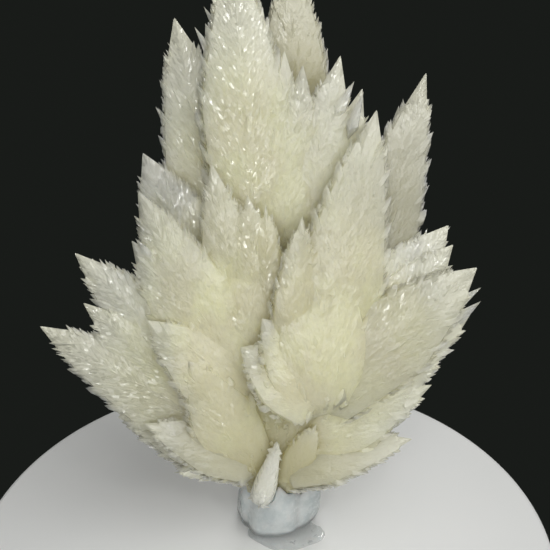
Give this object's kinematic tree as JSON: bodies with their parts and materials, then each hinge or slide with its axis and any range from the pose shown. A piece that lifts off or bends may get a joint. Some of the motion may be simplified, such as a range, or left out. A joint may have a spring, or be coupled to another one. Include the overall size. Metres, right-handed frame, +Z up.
{
  "type": "calcite cluster",
  "caption": "Upright fan-shaped cluster of pale translucent calcite blades with saw-toothed edges, standing in a small wad of clear mounting putty.",
  "frame": {"origin": "middle of the putty's flat foot, at the surface that it stands on", "axes": "+Z up, along the cluster's height; +X to the right and -Y towards the viewer, on the side that the picture shows"},
  "size_m": [0.101, 0.05, 0.143],
  "materials": {
    "calcite": "milky translucent crystal, creamy yellow-green, fine glittering faces and greyish half-clear points",
    "putty": "soft half-clear bluish grey putty, glossy"
  },
  "bodies": {
    "root": {"calcite_cluster": "calcite", "mounting_putty": "putty"}
  },
  "joints": []
}
